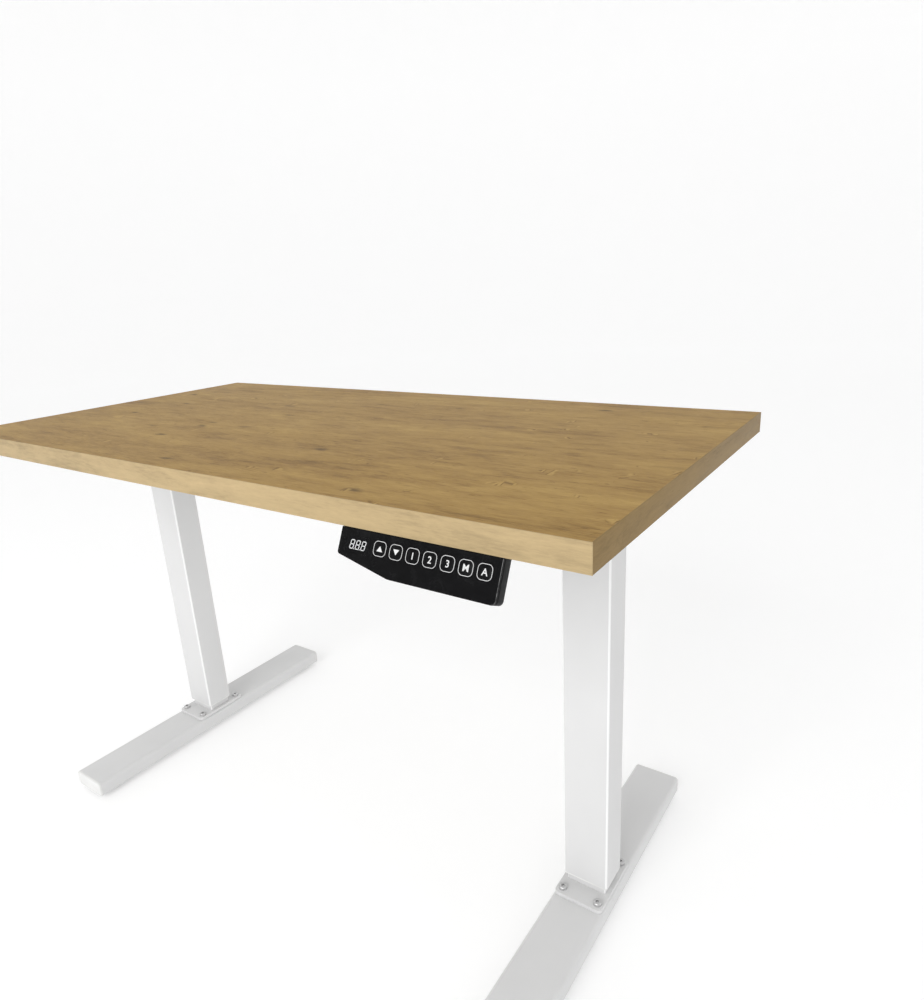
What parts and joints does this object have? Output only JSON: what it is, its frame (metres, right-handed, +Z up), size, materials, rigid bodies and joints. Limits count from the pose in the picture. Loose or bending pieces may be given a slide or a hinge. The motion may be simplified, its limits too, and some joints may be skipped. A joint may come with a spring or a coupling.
{
  "type": "height adjustable standing desk",
  "caption": "Rectangular wood-look desk top on two white telescopic columns with feet, raised by motors, with a black keypad under the front edge.",
  "frame": {"origin": "on the floor, under the middle of the desk's outline at its lowest height", "axes": "+X along the top to its right end, +Y to the back, +Z up"},
  "size_m": [1.2, 0.6186, 0.72],
  "materials": {
    "laminate": "oak look laminate on particle board",
    "edging": "oak look edge strip",
    "white_paint": "white powder coat",
    "rubber": "matt",
    "zinc": "zinc plated",
    "cast": "die cast",
    "motor_black": "black paint over steel",
    "steel": "turned steel",
    "bronze": "bronze",
    "acetal": "acetal",
    "cap_white": "fine texture",
    "black_plastic": "fine texture",
    "gloss_black": "polished",
    "circuit": "green solder mask",
    "grey_plastic": "matt"
  },
  "bodies": {
    "base": {"foot_left": "white_paint", "foot_right": "white_paint", "foot_caps": "cap_white", "base_plates": "white_paint", "foot_bolts": "zinc", "inner_tube_left": "white_paint", "inner_tube_right": "white_paint", "nut_carriers": "acetal", "spindle_nuts": "acetal", "glide_pads": "acetal"},
    "desktop": {"desktop_board": "laminate", "edge_band_front": "edging", "edge_band_back": "edging", "edge_band_left": "edging", "edge_band_right": "edging", "rubber_pads": "rubber", "wood_screws": "zinc", "side_bracket_left": "white_paint", "side_bracket_right": "white_paint", "crossbar_front": "white_paint", "crossbar_rear": "white_paint", "frame_bolts": "zinc", "gear_case_left": "cast", "gear_case_right": "cast", "gear_covers": "cast", "spindle_bearings": "steel", "motor_left": "motor_black", "motor_right": "motor_black", "outer_tube_left": "white_paint", "outer_tube_right": "white_paint", "guide_collars": "cap_white", "control_box_base": "black_plastic", "control_box_cover": "black_plastic", "control_circuit_board": "circuit", "mains_inlet": "black_plastic", "control_sockets": "grey_plastic", "handset_housing": "black_plastic", "handset_fascia": "gloss_black", "handset_circuit_board": "circuit", "display_lens": "gloss_black", "display_module": "black_plastic", "handset_socket": "grey_plastic"},
    "spindle_left": {"spindle_left": "steel", "worm_wheel_left": "bronze"},
    "worm_shaft_left": {"worm_shaft_left": "steel"},
    "leveller_left_front": {"leveller_left_front": "rubber"},
    "leveller_left_back": {"leveller_left_back": "rubber"},
    "spindle_right": {"spindle_right": "steel", "worm_wheel_right": "bronze"},
    "worm_shaft_right": {"worm_shaft_right": "steel"},
    "leveller_right_front": {"leveller_right_front": "rubber"},
    "leveller_right_back": {"leveller_right_back": "rubber"},
    "key_up": {"key_up": "gloss_black"},
    "key_down": {"key_down": "gloss_black"},
    "key_1": {"key_1": "gloss_black"},
    "key_2": {"key_2": "gloss_black"},
    "key_3": {"key_3": "gloss_black"},
    "key_memory": {"key_memory": "gloss_black"},
    "key_alarm": {"key_alarm": "gloss_black"}
  },
  "joints": [
    {"name": "lift", "type": "slide", "parent": "base", "child": "desktop", "axis": [0, 0, 1], "range_m": [0, 0.44]},
    {"name": "spindle_turn_left", "type": "hinge", "parent": "desktop", "child": "spindle_left", "pos_m": [-0.4678, 0.00925, 0.62], "axis": [0, 0, 1], "continuous": true},
    {"name": "worm_turn_left", "type": "hinge", "parent": "desktop", "child": "worm_shaft_left", "pos_m": [-0.4678, 0.03055, 0.659], "axis": [1, 0, 0], "continuous": true},
    {"name": "leveller_left_front_travel", "type": "slide", "parent": "base", "child": "leveller_left_front", "axis": [0, 0, -1], "range_m": [0, 0.012]},
    {"name": "leveller_left_back_travel", "type": "slide", "parent": "base", "child": "leveller_left_back", "axis": [0, 0, -1], "range_m": [0, 0.012]},
    {"name": "spindle_turn_right", "type": "hinge", "parent": "desktop", "child": "spindle_right", "pos_m": [0.4678, 0.00925, 0.62], "axis": [0, 0, 1], "continuous": true},
    {"name": "worm_turn_right", "type": "hinge", "parent": "desktop", "child": "worm_shaft_right", "pos_m": [0.4678, -0.01205, 0.659], "axis": [-1, 0, 0], "continuous": true},
    {"name": "leveller_right_front_travel", "type": "slide", "parent": "base", "child": "leveller_right_front", "axis": [0, 0, -1], "range_m": [0, 0.012]},
    {"name": "leveller_right_back_travel", "type": "slide", "parent": "base", "child": "leveller_right_back", "axis": [0, 0, -1], "range_m": [0, 0.012]},
    {"name": "key_up_press", "type": "slide", "parent": "desktop", "child": "key_up", "axis": [0, 0.9063, -0.4226], "range_m": [0, 0.0004], "stiffness_N_per_m": 300, "springref_m": -0.001},
    {"name": "key_down_press", "type": "slide", "parent": "desktop", "child": "key_down", "axis": [0, 0.9063, -0.4226], "range_m": [0, 0.0004], "stiffness_N_per_m": 300, "springref_m": -0.001},
    {"name": "key_1_press", "type": "slide", "parent": "desktop", "child": "key_1", "axis": [0, 0.9063, -0.4226], "range_m": [0, 0.0004], "stiffness_N_per_m": 300, "springref_m": -0.001},
    {"name": "key_2_press", "type": "slide", "parent": "desktop", "child": "key_2", "axis": [0, 0.9063, -0.4226], "range_m": [0, 0.0004], "stiffness_N_per_m": 300, "springref_m": -0.001},
    {"name": "key_3_press", "type": "slide", "parent": "desktop", "child": "key_3", "axis": [0, 0.9063, -0.4226], "range_m": [0, 0.0004], "stiffness_N_per_m": 300, "springref_m": -0.001},
    {"name": "key_memory_press", "type": "slide", "parent": "desktop", "child": "key_memory", "axis": [0, 0.9063, -0.4226], "range_m": [0, 0.0004], "stiffness_N_per_m": 300, "springref_m": -0.001},
    {"name": "key_alarm_press", "type": "slide", "parent": "desktop", "child": "key_alarm", "axis": [0, 0.9063, -0.4226], "range_m": [0, 0.0004], "stiffness_N_per_m": 300, "springref_m": -0.001}
  ],
  "couplings": [
    {"joint": "spindle_turn_left", "follows": "lift", "rad_per_m": 392.7},
    {"joint": "worm_turn_left", "follows": "lift", "rad_per_m": 5890.5},
    {"joint": "spindle_turn_right", "follows": "lift", "rad_per_m": 392.7},
    {"joint": "worm_turn_right", "follows": "lift", "rad_per_m": 5890.5}
  ]
}
